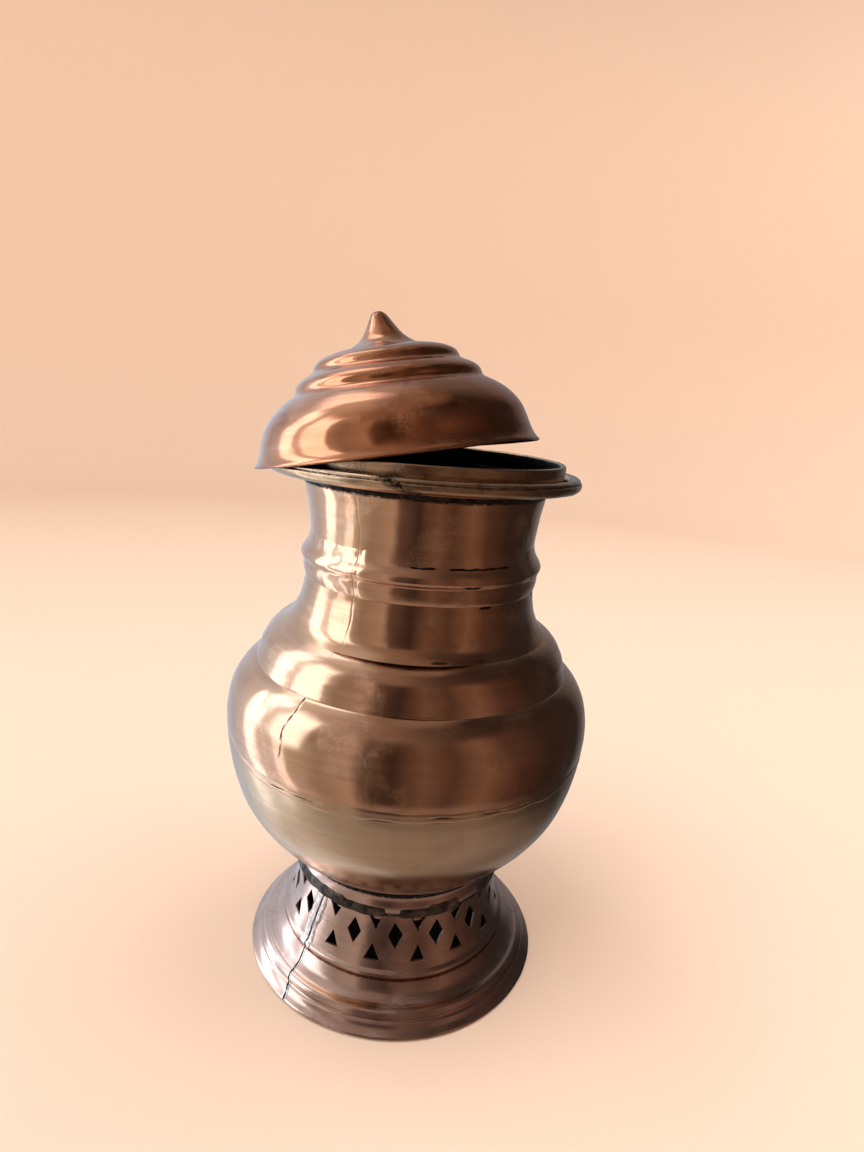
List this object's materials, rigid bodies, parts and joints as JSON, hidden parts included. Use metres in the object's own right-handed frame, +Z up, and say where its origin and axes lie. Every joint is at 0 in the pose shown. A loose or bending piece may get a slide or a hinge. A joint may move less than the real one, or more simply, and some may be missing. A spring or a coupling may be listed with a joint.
{
  "type": "lidded metal urn",
  "caption": "Lidded copper and brass urn: round belly, banded neck with rolled mouth flange, pierced flared foot, and a loose stepped lid with a pointed finial.",
  "frame": {"origin": "centre of the circle that the foot's edge rests on, on the vessel's axis", "axes": "+Z up along the vessel's axis, -Y the front that shows the foot's seam to its left, +X to the right of the front"},
  "size_m": [0.17, 0.17, 0.3039],
  "materials": {
    "foot_copper": "hand-polished aged copper",
    "belly_copper": "hand-polished aged copper",
    "lid_copper": "red-brown polished copper",
    "neck_bronze": "polished bronze-coloured copper",
    "bowl_brass": "satin aged brass",
    "mouth_brass": "aged brass with dark tarnish",
    "grey_solder": "dull dark grey solder",
    "yellow_braze": "dull yellow braze",
    "iron_wire": "plain iron wire"
  },
  "bodies": {
    "vessel": {"foot_skirt": "foot_copper", "foot_gallery": "foot_copper", "foot_seam_solder": "grey_solder", "bowl_socket_ring": "foot_copper", "foot_top_solder": "grey_solder", "belly_lower_bowl": "bowl_brass", "belly_upper_shell": "belly_copper", "belly_seam_braze": "yellow_braze", "shoulder_cap": "belly_copper", "neck_lower_sleeve": "neck_bronze", "neck_bead": "belly_copper", "neck_upper_sleeve": "neck_bronze", "neck_top_solder": "grey_solder", "mouth_flange": "mouth_brass", "flange_rim_wire": "iron_wire", "mouth_collar": "mouth_brass"},
    "lid": {"lid_dome": "lid_copper", "lid_finial": "lid_copper", "lid_finial_solder": "grey_solder"}
  },
  "joints": [
    {"name": "lid_lift", "type": "slide", "parent": "vessel", "child": "lid", "axis": [0, 0, 1], "range_m": [0, 0.12]}
  ]
}
